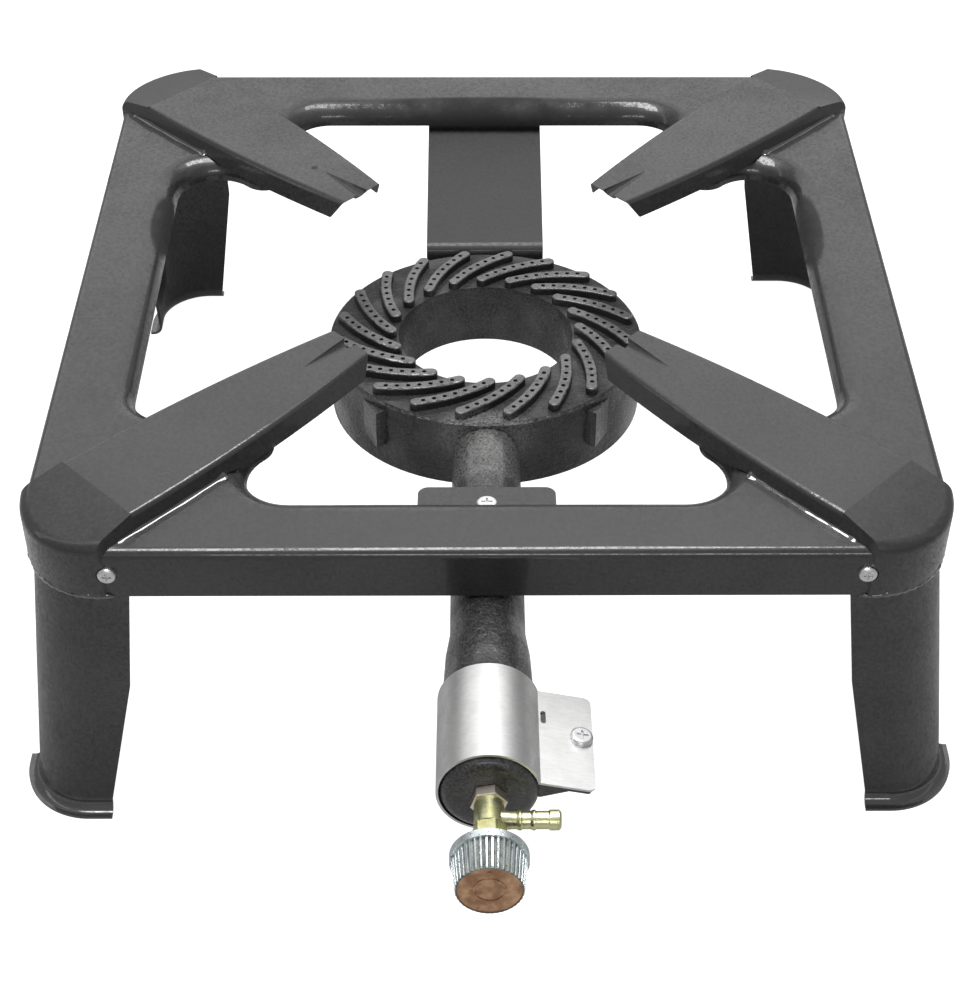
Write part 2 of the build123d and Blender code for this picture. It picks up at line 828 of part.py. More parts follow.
with BuildPart() as burner_casting:
    add(ring_form.part)
    add(tube_form.part)
    add(ear_form.part)
    for points in lug_points:
        with BuildSketch(burner_plane.offset(-lug_drop)):
            Polygon(*points, align=None)
        extrude(amount=-lug_height)
    with BuildSketch(burner_plane.offset(-ring_height)):
        with Locations((0, rear_boss_offset)):
            Circle(rear_boss_radius)
    extrude(amount=ring_height - ring_floor_depth + ring_wall / 2)
    with BuildSketch(burner_plane.offset(pad_height - tube_drop + tube_radius)):
        with Locations((0, -pad_station)):
            RectangleRounded(pad_width, pad_length, ring_edge_chamfer)
    extrude(amount=-pad_height - tube_wall / 2)
    with BuildSketch(ring_side_plane):
        with BuildLine():
            Polyline(
                (cavity_inner, -ring_wall),
                (cavity_outer, -ring_wall),
                (cavity_outer, ring_wall - ring_floor_depth),
                (cavity_inner, ring_wall - ring_floor_depth),
                (cavity_inner, -ring_wall),
            )
        make_face()
    revolve(axis=burner_axis, mode=Mode.SUBTRACT)
    add(tube_hollow.part, mode=Mode.SUBTRACT)
    for copy in rib_copies:
        add(copy)
    with BuildSketch(burner_plane.offset(rib_height)):
        with Locations(*port_list):
            Circle(port_radius)
    extrude(amount=-rib_height - ring_wall, mode=Mode.SUBTRACT)
    with BuildSketch(across_tube(bell_end)):
        Circle(shank_radius)
    extrude(amount=-bell_end_wall, mode=Mode.SUBTRACT)
    with BuildSketch(window_plane):
        with Locations((bell_end - window_setback - window_length / 2, 0)):
            Rectangle(window_length, window_width)
    extrude(amount=bell_radius + cut_overrun, mode=Mode.SUBTRACT)
    with BuildSketch(burner_plane.offset(pad_height - tube_drop + tube_radius)):
        with Locations((0, -pad_station)):
            Circle(strap_screw_radius)
    extrude(amount=-pad_height - tube_wall - cut_overrun, mode=Mode.SUBTRACT)
    with BuildSketch(burner_plane.offset(-ring_height)):
        with Locations((0, rear_boss_offset)):
            Circle(strap_screw_radius)
    extrude(amount=strap_screw_length - strap_sheet, mode=Mode.SUBTRACT)
save(burner_casting, "burner_casting")

# Straps: folded strips that hang the burner from the underside of the front and rear rails

rail_under = frame_top - frame_sheet - strap_sheet / 2
leaf_reach = opening_half + lip_radius - strap_bend_radius
weld_reach = opening_half + lip_radius + strap_weld_length
rear_wall_reach = ring_radius + rear_strap_gap + strap_sheet / 2
shelf_drop = tube_drop - tube_radius - pad_height - strap_sheet / 2
foot_drop = ring_height + strap_sheet / 2

with BuildPart() as rear_burner_strap:
    with BuildSketch(Plane.YZ):
        with BuildLine():
            FilletPolyline(
                (weld_reach, rail_under),
                (leaf_reach, rail_under),
                (leaf_reach, frame_top - rear_strap_bend_drop),
                strap_point(rear_wall_reach, -ring_edge_chamfer),
                strap_point(rear_wall_reach, foot_drop),
                strap_point(rear_boss_offset - rear_boss_radius, foot_drop),
                radius=(strap_bend_radius, strap_bend_radius, strap_bend_radius, strap_foot_bend),
            )
        trace(line_width=strap_sheet)
    extrude(amount=strap_width / 2, both=True)
    with BuildSketch(burner_plane.offset(-foot_drop)):
        with Locations((0, rear_boss_offset)):
            Circle(strap_screw_radius + screw_clearance)
    extrude(amount=strap_sheet, both=True, mode=Mode.SUBTRACT)
save(rear_burner_strap, "rear_burner_strap")

with BuildPart() as front_burner_strap:
    with BuildSketch(Plane.YZ):
        with BuildLine():
            FilletPolyline(
                (-weld_reach, rail_under),
                (-leaf_reach, rail_under),
                strap_point(-leaf_reach, shelf_drop),
                strap_point(front_strap_reach - leaf_reach, shelf_drop),
                radius=strap_bend_radius,
            )
        trace(line_width=strap_sheet)
    extrude(amount=strap_width / 2, both=True)
    far_edges = front_burner_strap.edges().filter_by(Axis((0, 0, 0), lean_up))
    far_edges = far_edges.sort_by(Axis.Y)[-2:]
    fillet(far_edges, radius=strap_corner_radius)
    with BuildSketch(burner_plane.offset(-shelf_drop)):
        with Locations((0, -pad_station)):
            Circle(strap_screw_radius + screw_clearance)
    extrude(amount=strap_sheet, both=True, mode=Mode.SUBTRACT)
save(front_burner_strap, "front_burner_strap")

front_screw_spot = Vector(0, -pad_station, strap_sheet / 2 - shelf_drop)
front_screw_origin = burner_plane.from_local_coords(front_screw_spot)
front_screw_seat = Plane(origin=front_screw_origin, x_dir=(1, 0, 0), z_dir=burner_plane.z_dir)
rear_screw_spot = Vector(0, rear_boss_offset, -foot_drop - strap_sheet / 2)
rear_screw_origin = burner_plane.from_local_coords(rear_screw_spot)
rear_screw_seat = Plane(origin=rear_screw_origin, x_dir=(1, 0, 0), z_dir=-burner_plane.z_dir)
strap_head = (strap_screw_head_radius, strap_screw_head_height, strap_screw_radius)
front_screw = screw_blank(front_screw_seat, *strap_head, front_screw_length)
rear_screw = screw_blank(rear_screw_seat, *strap_head, strap_screw_length)

with BuildPart() as strap_screws:
    add(front_screw)
    add(rear_screw)
save(strap_screws, "strap_screws")

# Air shutter: split band round the bell with a flat flap, clamped over the slotted ear

band_inner = bell_radius + band_clearance
band_outer = band_inner + band_sheet
gap_reach = 2 * band_outer
gap_low = -math.radians(band_gap_angle)
gap_top = flap_height - band_sheet / 2

with BuildPart() as air_shutter_band:
    with BuildSketch(across_tube(band_back, -flap_angle)):
        Circle(band_outer)
        Circle(band_inner, mode=Mode.SUBTRACT)
        Polygon(
            (0, 0),
            (gap_reach * math.cos(gap_low), gap_reach * math.sin(gap_low)),
            (gap_reach, gap_top),
            (0, gap_top),
            align=None,
            mode=Mode.SUBTRACT,
        )
        with Locations(((flap_start + flap_reach) / 2, flap_height)):
            Rectangle(flap_reach - flap_start, band_sheet)
        Circle(band_inner, mode=Mode.SUBTRACT)
    extrude(amount=band_length)
    flap_edges = air_shutter_band.edges().filter_by(Axis(clamp_origin, clamp_up))
    flap_edges = flap_edges.sort_by(clamp_side)[-2:]
    fillet(flap_edges, radius=2 * flap_corner_radius)
    with BuildSketch(clamp_plane):
        Circle(clamp_screw_radius + screw_clearance)
        with Locations((clamp_station - slit_station, clamp_reach - slit_reach)):
            SlotOverall(slit_length, slit_width)
    extrude(amount=2 * band_sheet, mode=Mode.SUBTRACT)
save(air_shutter_band, "air_shutter_band")

clamp_seat = clamp_plane.offset(ear_clearance + band_sheet)
clamp_screw = screw_blank(
    clamp_seat, clamp_screw_head_radius, clamp_screw_head_height, clamp_screw_radius, clamp_screw_length
)
clamp_nut_origin = clamp_origin - clamp_up * (ear_thickness + screw_clearance)
clamp_nut_plane = Plane(origin=clamp_nut_origin, x_dir=tube_dir, z_dir=-clamp_up)
clamp_nut = nut_blank(clamp_nut_plane, clamp_nut_flats, clamp_nut_height, clamp_screw_radius)

with BuildPart() as shutter_screw:
    add(clamp_screw)
save(shutter_screw, "shutter_screw")

with BuildPart() as shutter_nut:
    add(clamp_nut)
save(shutter_nut, "shutter_nut")

# Needle valve: injector, body, lock nut, hose barb, gland nut, packing and spindle


def turned(profile):
    """Solid of revolution about the tube's axis from stations and radii."""
    with BuildPart() as piece:
        with BuildSketch(tube_plane):
            with BuildLine():
                Polyline(*profile, close=True)
            make_face()
        revolve(axis=tube_axis)
    return piece.part


jet_form = turned(
    [
        (jet_end - jet_length, jet_bore_radius),
        (jet_end - jet_length, jet_tip_radius - jet_bore_radius),
        (jet_end - jet_length + jet_tip_length, jet_tip_radius),
        (jet_end - jet_tip_length, jet_tip_radius),
        (jet_end + jet_stem_length, jet_tip_radius),
        (jet_end + jet_stem_length, jet_passage_radius),
        (jet_end - jet_length + jet_tip_length, jet_passage_radius),
        (jet_end - jet_length + jet_tip_length - jet_bore_radius, jet_bore_radius),
    ]
)

with BuildPart() as injector_jet:
    add(jet_form)
    with BuildSketch(across_tube(jet_end - jet_length + jet_tip_length)):
        RegularPolygon(jet_flats / 2, 6, major_radius=False)
        Circle(jet_tip_radius, mode=Mode.SUBTRACT)
    extrude(amount=jet_length - jet_tip_length)
save(injector_jet, "injector_jet")

locknut = nut_blank(across_tube(bell_end), locknut_flats, locknut_height, shank_radius, locknut_turn)

with BuildPart() as valve_locknut:
    add(locknut)
save(valve_locknut, "valve_locknut")

body_form = turned(
    [
        (jet_end, jet_tip_radius),
        (jet_end, shank_radius),
        (locknut_end, shank_radius),
        (locknut_end, body_radius),
        (body_end, body_radius),
        (body_end, spigot_radius),
        (spigot_end, spigot_radius),
        (spigot_end, valve_chamber_radius),
        (chamber_start, valve_chamber_radius),
        (chamber_start, jet_passage_radius),
        (jet_end + jet_stem_length, jet_passage_radius),
        (jet_end + jet_stem_length, jet_tip_radius),
    ]
)
barb_origin = tube_origin + tube_dir * barb_station
barb_axis = Axis(barb_origin, (1, 0, 0))
barb_base = Plane(origin=barb_origin, x_dir=tube_dir, z_dir=(1, 0, 0))

with BuildPart() as valve_body:
    add(body_form)
    with BuildSketch(barb_base):
        Circle(barb_stem_radius)
    extrude(amount=body_radius + cut_overrun, mode=Mode.SUBTRACT)
save(valve_body, "valve_body")

rib_rise = barb_rib_radius - barb_radius
barb_profile = [(barb_stem_start, barb_bore_radius), (barb_stem_start, barb_stem_radius)]
barb_profile += [(barb_root_start, barb_stem_radius), (barb_root_start, barb_root_radius)]
barb_profile += [(barb_root_end, barb_radius)]
for place in barb_rib_places:
    barb_profile += [
        (place - barb_rib_width, barb_radius),
        (place, barb_rib_radius),
        (place + barb_rib_width / 2, barb_rib_radius),
        (place + barb_rib_width / 2 + rib_rise, barb_radius),
    ]
barb_profile += [
    (barb_head_start, barb_radius),
    (barb_head_start + rib_rise, barb_rib_radius),
    (barb_length - barb_chamfer, barb_rib_radius),
    (barb_length, barb_rib_radius - barb_chamfer),
    (barb_length, barb_bore_radius),
]

with BuildPart() as hose_barb:
    with BuildSketch(Plane(origin=barb_origin, x_dir=(1, 0, 0), z_dir=-burner_plane.z_dir)):
        with BuildLine():
            Polyline(*barb_profile, close=True)
        make_face()
    revolve(axis=barb_axis)
    with BuildSketch(across_tube(barb_station - body_length / 2)):
        Circle(body_radius)
        Circle(barb_stem_radius, mode=Mode.SUBTRACT)
    extrude(amount=body_length, mode=Mode.SUBTRACT)
save(hose_barb, "hose_barb")

gland_blank = nut_blank(across_tube(body_end), gland_flats, gland_height, spindle_radius, gland_turn)

with BuildPart() as gland_nut:
    add(gland_blank)
    with BuildSketch(across_tube(body_end)):
        Circle(spigot_radius)
    extrude(amount=gland_height - gland_wall, mode=Mode.SUBTRACT)
    with BuildSketch(across_tube(body_end)):
        Circle(spindle_radius + running_clearance)
    extrude(amount=gland_height, mode=Mode.SUBTRACT)
save(gland_nut, "gland_nut")

with BuildPart() as gland_packing:
    with BuildSketch(across_tube(spigot_end)):
        Circle(spigot_radius)
        Circle(spindle_radius + running_clearance, mode=Mode.SUBTRACT)
    extrude(amount=gland_end - gland_wall - spigot_end)
save(gland_packing, "gland_packing")

seat_radius = jet_passage_radius - running_clearance
spindle_end = knob_front - knob_disc_depth - knob_front_wall - running_clearance
spindle_form = turned(
    [
        (chamber_start - needle_lead, 0),
        (chamber_start - needle_lead, seat_radius - needle_lead * needle_slope),
        (chamber_start + (spindle_radius - seat_radius) / needle_slope, spindle_radius),
        (spindle_end, spindle_radius),
        (spindle_end, 0),
    ]
)

with BuildPart() as needle_spindle:
    add(spindle_form)
save(needle_spindle, "needle_spindle")

# Knob: fluted hollow shell with a boss on the spindle and a plain inset face disc

rim_end = knob_back + knob_rim_width
disc_floor = knob_front - knob_disc_depth
wall_inside = disc_floor - knob_front_wall
knob_form = turned(
    [
        (knob_back, knob_rim_radius - knob_wall),
        (knob_back, knob_rim_radius),
        (rim_end, knob_rim_radius),
        (rim_end, knob_rim_radius - knob_rim_step),
        (knob_front - knob_edge_radius, knob_face_radius),
        (knob_front, knob_face_radius - knob_edge_radius),
        (knob_front, knob_disc_radius),
        (disc_floor, knob_disc_radius),
        (disc_floor, 0),
        (wall_inside, 0),
        (wall_inside, spindle_radius + running_clearance),
        (knob_back + knob_edge_radius, spindle_radius + running_clearance),
        (knob_back + knob_edge_radius, knob_boss_radius),
        (wall_inside, knob_boss_radius),
        (wall_inside, knob_face_radius - knob_rim_step - knob_wall),
        (rim_end, knob_rim_radius - knob_rim_step - knob_wall),
    ]
)
flute_start = across_tube(rim_end).from_local_coords(Vector(0, knob_rim_radius - knob_rim_step, 0))
flute_station = knob_front - knob_edge_radius
flute_stop = across_tube(flute_station).from_local_coords(Vector(0, knob_face_radius, 0))
flute_plane = Plane(origin=flute_start, x_dir=(1, 0, 0), z_dir=flute_stop - flute_start)

with BuildPart() as flute:
    with BuildSketch(flute_plane):
        Circle(knob_flute_radius)
    extrude(amount=(flute_stop - flute_start).length + cut_overrun)

flute_pitch = 360 / knob_flute_count
flute_copies = [flute.part.rotate(tube_axis, flute_pitch * k) for k in range(knob_flute_count)]

with BuildPart() as knob_shell:
    add(knob_form)
    for copy in flute_copies:
        add(copy, mode=Mode.SUBTRACT)
save(knob_shell, "knob_shell")

with BuildPart() as knob_face:
    with BuildSketch(across_tube(disc_floor)):
        Circle(knob_disc_radius)
    extrude(amount=knob_disc_sheet)
    with BuildSketch(across_tube(disc_floor + knob_disc_sheet)):
        Circle(knob_disc_ring_radius)
        Circle(knob_disc_ring_radius - knob_disc_ring_width, mode=Mode.SUBTRACT)
        with Locations((0, (knob_disc_ring_radius + knob_disc_radius) / 2)):
            Circle(knob_pointer_radius)
    extrude(amount=knob_disc_ring_height)
save(knob_face, "knob_face")
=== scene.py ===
import math

import bmesh
import bpy
from mathutils import Matrix, Vector


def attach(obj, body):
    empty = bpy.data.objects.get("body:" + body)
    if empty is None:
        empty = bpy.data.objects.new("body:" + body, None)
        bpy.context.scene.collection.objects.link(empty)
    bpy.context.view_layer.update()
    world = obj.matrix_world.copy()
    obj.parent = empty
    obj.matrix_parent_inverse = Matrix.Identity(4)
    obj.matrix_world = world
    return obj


# Low square gas burner stove in black enamel, with a rough cast burner, a bright air shutter band,
# brass valve fittings and a plated fluted knob. Everything is in metres, in the model's own frame.

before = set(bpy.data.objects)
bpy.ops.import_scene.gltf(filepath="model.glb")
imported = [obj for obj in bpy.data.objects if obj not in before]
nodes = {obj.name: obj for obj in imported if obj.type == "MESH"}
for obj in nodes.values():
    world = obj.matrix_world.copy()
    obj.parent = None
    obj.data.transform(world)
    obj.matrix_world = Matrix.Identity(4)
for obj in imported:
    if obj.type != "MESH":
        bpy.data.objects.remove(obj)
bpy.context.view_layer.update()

# Burner: it leans up to the front, and its tube runs forward from below the ring's centre

LEAN = math.radians(3.5)
TUBE_DIR = Vector((0.0, -math.cos(LEAN), math.sin(LEAN)))
BURNER_UP = Vector((0.0, math.sin(LEAN), math.cos(LEAN)))
BURNER_CENTRE = Vector((0.0, 0.0, 0.118))
TUBE_DROP = 0.019
TUBE_START = BURNER_CENTRE - TUBE_DROP * BURNER_UP
RIB_TOPS = (0.0028, 0.0038)  # heights over the ring's top between which the painted highlight on the rib tops starts
NECK_SHEEN = ((0.0, -0.09, 0.115), (0.03, 0.026, 0.022))  # painted sheen on the neck, a pale sandy patch: its centre and half size

# Knob: a rim at its back, then a fluted cone

KNOB_RIM_WIDTH = 0.0034
KNOB_RADIUS = 0.0145
KNOB_TAPER = 0.0012
FLUTE_SHADE = (0.00032, 0.00065)  # depths in a flute between which the painted shade starts

# Frame ring, arms and their corner caps

FRAME_TOP = 0.153
SKIRT_DEPTH = 0.025
SKIRT_FOOT = FRAME_TOP - SKIRT_DEPTH
CORNER_CENTRE = 0.164
CORNER_RADIUS = 0.0364
ARM_STATIONS = (0.09, 0.1632, 0.2364)  # distances from the stove's centre
ARM_HALF_WIDTHS = (0.01509, 0.02379, 0.02659)  # at those stations, where the walls meet the rails
WALL_SPLAY = math.tan(math.radians(16.0))
CAP_LENGTH = 0.0315
CAP_DROP = 0.0056
RIDGE_REACH = 0.23643  # where the arm's top bends down into its cap
ARM_BEND = 0.013  # length of the arm that the bend takes
CAP_BEND = 0.018  # length of the cap that it takes

# Enamel

ENAMEL_BLACK = (0.02, 0.02, 0.0205)
# Painted shade: the dark colour of the ovals on the opening lips and of the arm's dimple
PAINTED_SHADE_BLACK = (0.006, 0.006, 0.006)
ENAMEL_RELIEF = 0.0011
PLAIN_GLAZE = 1.5
GLASSY_GLAZE = 1.9
FOOT_LIP = 0.0055
POOL_START = 0.186
POOL_END = 0.2475
POOL_SIZE = 0.0015
POOL_END_SIZE = 0.00004
POOL_SINK = 0.00015  # how far a pool reaches down into its rail
POOL_LAP = 0.0002  # how far it reaches into its wall
POOL_STATIONS = 61
POOL_STEPS = 6
BEAD_SIZE = 0.0009
BEAD_END_SIZE = 0.00003
BEAD_STATIONS = 121
BEAD_SIDES = 8
BEAD_FROM, BEAD_TURN = -9.0, 108.0  # degrees round a corner

# Ovals of painted shade on the lips of the left, right and rear openings, where the enamel also
# loses gloss, and a dimple's painted shade in the rear left arm: each is a centre and a half size

LIP_SHADE_OVALS = (
    ((0.1655, 0.046, 0.149), (0.0075, 0.033, 0.012)),
    ((-0.1645, 0.052, 0.149), (0.0075, 0.027, 0.012)),
    ((0.0, 0.1645, 0.151), (0.088, 0.0105, 0.012)),
)
ARM_DIMPLE_SHADE = (((-0.0895, 0.088, 0.161), (0.0017, 0.0017, 0.004)),)

# Camera, solved from the picture

CAMERA_PLACE = (-0.00444, -0.80301, 0.71465)
PITCH = math.radians(41.16)
YAW = math.radians(0.5)
ROLL = math.radians(0.23)
FOCAL_PIXELS = 1971.83
IMAGE_WIDTH = 980.0
SENSOR = 36.0

# Studio

FLOOR_HALF_SIZE = 6.0
FLOOR_TONE = 0.32
WORLD_LIGHT = 0.25
GLOSS_SHARE = 0.15


def add_camera():
    cos_pitch = math.cos(PITCH)
    forward = Vector((math.sin(YAW) * cos_pitch, math.cos(YAW) * cos_pitch, -math.sin(PITCH)))
    level = Vector((math.cos(YAW), -math.sin(YAW), 0.0))
    upright = level.cross(forward)
    right = level * math.cos(ROLL) + upright * math.sin(ROLL)
    up = upright * math.cos(ROLL) - level * math.sin(ROLL)
    data = bpy.data.cameras.new("camera")
    data.sensor_fit = "HORIZONTAL"
    data.sensor_width = SENSOR
    data.lens = FOCAL_PIXELS / IMAGE_WIDTH * SENSOR
    data.clip_start = 0.01
    data.clip_end = 50.0
    camera = bpy.data.objects.new("camera", data)
    bpy.context.scene.collection.objects.link(camera)
    turn = Matrix((right, up, -forward)).transposed()
    camera.matrix_world = Matrix.Translation(CAMERA_PLACE) @ turn.to_4x4()
    bpy.context.scene.camera = camera


# Shader maths


class Value:
    """A node's output that takes part in ordinary Python arithmetic by adding Math nodes."""

    def __init__(self, graph, socket):
        self.graph = graph
        self.socket = socket

    def __add__(self, other):
        return self.graph.maths("ADD", self, other)

    def __radd__(self, other):
        return self.graph.maths("ADD", other, self)

    def __sub__(self, other):
        return self.graph.maths("SUBTRACT", self, other)

    def __rsub__(self, other):
        return self.graph.maths("SUBTRACT", other, self)

    def __mul__(self, other):
        return self.graph.maths("MULTIPLY", self, other)

    def __rmul__(self, other):
        return self.graph.maths("MULTIPLY", other, self)

    def __truediv__(self, other):
        return self.graph.maths("DIVIDE", self, other)

    def __rtruediv__(self, other):
        return self.graph.maths("DIVIDE", other, self)

    def __lt__(self, other):
        return self.graph.maths("LESS_THAN", self, other)

    def __abs__(self):
        return self.graph.maths("ABSOLUTE", self)

    def clamped(self):
        return self.graph.maths("ADD", self, 0.0, clamp=True)

    def ramp(self, low, high):
        """0 below low, 1 above high and smooth between them."""
        values = {"Value": self, "From Min": low, "From Max": high}
        return self.graph.node("ShaderNodeMapRange", {"interpolation_type": "SMOOTHSTEP"}, values)


class Graph:
    """The shader nodes of a material or of the world."""

    def __init__(self, tree):
        self.tree = tree

    def node(self, kind, settings=None, values=None, output=0):
        """Adds any node: its settings first, then the values or links of its sockets."""
        made = self.tree.nodes.new(kind)
        for name, value in (settings or {}).items():
            setattr(made, name, value)
        for name, value in (values or {}).items():
            if isinstance(value, Value):
                self.tree.links.new(value.socket, made.inputs[name])
            else:
                made.inputs[name].default_value = value
        return Value(self, made.outputs[output])

    def maths(self, operation, *values, clamp=False):
        settings = {"operation": operation, "use_clamp": clamp}
        return self.node("ShaderNodeMath", settings, dict(enumerate(values)))

    def backdrop_share(self):
        """How much of the white background a ray shows: all of it to the camera and through glass,
        part of it in gloss."""
        camera, glass, gloss = (
            self.node("ShaderNodeLightPath", output=f"Is {kind} Ray")
            for kind in ("Camera", "Transmission", "Glossy")
        )
        return camera + glass + gloss * GLOSS_SHARE


class Finish(Graph):
    """A material with its main shader."""

    def __init__(self, name, colour, roughness, metallic=0.0, **constants):
        self.material = bpy.data.materials.new(name)
        self.material.use_nodes = True
        super().__init__(self.material.node_tree)
        self.shader = self.tree.nodes["Principled BSDF"]
        self.shader.inputs["Base Color"].default_value = (*colour, 1.0)
        self.shader.inputs["Roughness"].default_value = roughness
        self.shader.inputs["Metallic"].default_value = metallic
        for socket, value in constants.items():
            self.shader.inputs[socket.replace("_", " ")].default_value = value

    def place(self, scale=(1.0, 1.0, 1.0), shift=(0.0, 0.0, 0.0), turn=(0.0, 0.0, 0.0)):
        """Object coordinates, scaled, turned and shifted."""
        point = self.node("ShaderNodeTexCoord", output="Object")
        values = {"Vector": point, "Location": shift, "Rotation": turn, "Scale": scale}
        return self.node("ShaderNodeMapping", None, values)

    def vector(self, operation, output, *values):
        settings = {"operation": operation}
        return self.node("ShaderNodeVectorMath", settings, dict(enumerate(values)), output)

    def along(self, direction, point=None):
        """Distance of a surface point from the origin along a direction."""
        return self.vector("DOT_PRODUCT", "Value", point or self.place(), tuple(direction))

    def oval(self, centre, reach):
        """1 inside an oval round a point and 0 outside, with a soft edge.
        Reach is the oval's half size."""
        inverse = tuple(1.0 / size for size in reach)
        shift = tuple(-part / size for part, size in zip(centre, reach))
        local = self.place(scale=inverse, shift=shift)
        return 1.0 - self.vector("LENGTH", "Value", local).ramp(0.8, 1.08)

    def noise(self, scale, detail=3.0, roughness=0.55, place=None):
        place = place or self.place()
        values = {"Vector": place, "Scale": scale, "Detail": detail, "Roughness": roughness}
        return self.node("ShaderNodeTexNoise", None, values)

    def cells(self, scale, place=None):
        """Distance to the nearest of many scattered points."""
        values = {"Vector": place or self.place(), "Scale": scale}
        return self.node("ShaderNodeTexVoronoi", None, values)

    def mix(self, mask, below, above):
        """Colour mix of two colours, each a tuple or a node's output."""
        values = {"Factor": mask}
        for socket, colour in ((6, below), (7, above)):
            values[socket] = colour if isinstance(colour, Value) else (*colour, 1.0)
        return self.node("ShaderNodeMix", {"data_type": "RGBA"}, values, output=2)

    def feed(self, socket, value):
        self.tree.links.new(value.socket, self.shader.inputs[socket])

    def bump(self, height, distance, strength):
        values = {"Height": height, "Distance": distance, "Strength": strength}
        self.feed("Normal", self.node("ShaderNodeBump", None, values))


# Finishes


def shade(colour, share, lift=0.0):
    return tuple(share * part + lift for part in colour)


def cap_bend(finish):
    """Height that rounds the bend between the tops of the front arms and their sloping caps."""
    slope = CAP_DROP / CAP_LENGTH
    across = abs(finish.along((1.0, 0.0, 0.0))) + abs(finish.along((0.0, 1.0, 0.0)))
    reach = across * math.sqrt(0.5)
    before = ((reach - RIDGE_REACH) / ARM_BEND + 1.0).clamped()
    after = ((reach - RIDGE_REACH) / CAP_BEND).clamped()
    rise = (after - after * after * 0.5) * (0.5 * slope * CAP_BEND)
    rise = rise - before * before * (0.25 * slope * ARM_BEND)
    return rise * (finish.along((0.0, 1.0, 0.0)) < 0.0)


def enamel(name, colour, roughness, runs=(), bent=False, shine=1.0, foot=0.0):
    """Thick black enamel over pressed sheet: a clear wavy gloss, fine grain, dust and a few pale
    nicks. Runs are ovals of painted shade, darker and less glossy. Bent rounds the front caps'
    bends.
    Below the height foot it has pooled and is thick and glassy."""
    glaze = GLASSY_GLAZE if foot else PLAIN_GLAZE
    finish = Finish(
        name, colour, roughness,
        Coat_Weight=0.7, Coat_Roughness=0.05, Coat_IOR=glaze, Specular_IOR_Level=0.42,
    )
    waves = finish.noise(24.0, 2.0)
    orange_peel = finish.noise(380.0, 2.0, 0.5)
    grain = finish.noise(560.0, 4.0, 0.85)
    cloud = finish.noise(14.0, 6.0, 0.7)
    pits = 1.0 - finish.cells(430.0).ramp(0.04, 0.12)
    mottle = (cloud.ramp(0.35, 0.7) * 0.35 + grain.ramp(0.36, 0.66) * 0.65).clamped()
    tone = finish.mix(mottle, shade(colour, 0.5), shade(colour, 1.7, 0.006))
    rough = roughness + cloud.ramp(0.35, 0.75) * 0.1 + grain.ramp(0.45, 0.8) * 0.14
    gloss = 1.08 - grain.ramp(0.38, 0.64) * 0.8 - cloud.ramp(0.35, 0.7) * 0.45 - pits * 0.5
    gloss = gloss * shine
    if foot:
        low = 1.0 - finish.along((0.0, 0.0, 1.0)).ramp(foot, 1.6 * foot)
        gloss = gloss * (0.5 + low * 0.3) + low * 0.5
    # Each oval in runs is painted shade: darker colour, more roughness and less gloss
    for centre, reach in runs:
        shade_oval = finish.oval(centre, reach) * (0.55 + cloud.ramp(0.4, 0.6) * 0.45)
        tone = finish.mix(shade_oval * 0.8, tone, PAINTED_SHADE_BLACK)
        rough = rough + shade_oval * 0.4
        gloss = gloss - shade_oval * 1.2
    nicks = pits * cloud.ramp(0.5, 0.6) * 0.3
    finish.feed("Base Color", finish.mix(nicks, tone, (0.3, 0.3, 0.29)))
    finish.feed("Roughness", rough.clamped())
    finish.feed("Coat Weight", gloss.clamped())
    relief = waves + orange_peel * 0.03 + grain * 0.012 - pits * 0.02
    strength = 0.5
    if bent:
        relief = relief + cap_bend(finish) / (ENAMEL_RELIEF * strength)
    finish.bump(relief, ENAMEL_RELIEF, strength)
    return finish.material


def pool_glaze():
    """Thick glassy enamel, nearly free of grain."""
    finish = Finish(
        "enamel_pools", (0.02, 0.02, 0.02), 0.2,
        Coat_Weight=1.0, Coat_Roughness=0.04, Coat_IOR=GLASSY_GLAZE,
    )
    finish.bump(finish.noise(260.0, 2.0, 0.5), 0.0003, 0.12)
    return finish.material


def cast_paint():
    """Semi gloss black paint over a sand cast skin: small lumps that catch the light as sparkle,
    the rib tops painted pale as highlight, the ground between them dark as shade, a sheen painted
    on the neck."""
    finish = Finish(
        "painted_casting", (0.02, 0.02, 0.02), 0.36, Coat_Weight=0.5, Coat_Roughness=0.16
    )
    sand = finish.noise(900.0, 3.0, 0.6)
    lumps = finish.noise(330.0, 3.0, 0.55)
    patches = finish.noise(45.0, 3.0, 0.5)
    runs = finish.noise(1.0, 2.0, 0.5, finish.place(scale=(160.0, 160.0, 22.0)))
    height = finish.along(BURNER_UP) - BURNER_CENTRE.dot(BURNER_UP)
    # Painted highlight: the tops of the ribs are paler, glossier and less rough
    rib_top_highlight = height.ramp(*RIB_TOPS) * (0.55 + lumps.ramp(0.3, 0.6) * 0.45)
    # Painted shade: the ring's top between the ribs is darker, rougher and less glossy
    ground = height.ramp(-0.0006, 0.0) * (1.0 - rib_top_highlight)
    tone = finish.mix(sand.ramp(0.4, 0.66), (0.01, 0.01, 0.01), (0.055, 0.055, 0.054))
    tone = finish.mix(patches.ramp(0.55, 0.75) * 0.4, tone, (0.07, 0.07, 0.068))
    tone = finish.mix(ground * 0.85, tone, (0.006, 0.006, 0.006))
    # Painted sheen: a pale patch where the neck meets the ring
    neck_sheen = finish.oval(*NECK_SHEEN) * sand.ramp(0.35, 0.6)
    tone = finish.mix(neck_sheen, tone, (0.11, 0.11, 0.108))
    rough = 0.42 - sand.ramp(0.45, 0.7) * 0.22 + ground * 0.2 - rib_top_highlight * 0.1
    gloss = 0.35 + patches.ramp(0.4, 0.6) * 0.55 + rib_top_highlight * 0.4 - ground * 0.35
    finish.feed("Base Color", finish.mix(rib_top_highlight * 0.9, tone, (0.085, 0.085, 0.084)))
    finish.feed("Roughness", rough.clamped())
    finish.feed("Coat Weight", gloss.clamped())
    finish.bump(lumps * 0.9 + sand * 0.4 + runs * 0.8, 0.001, 0.9)
    return finish.material


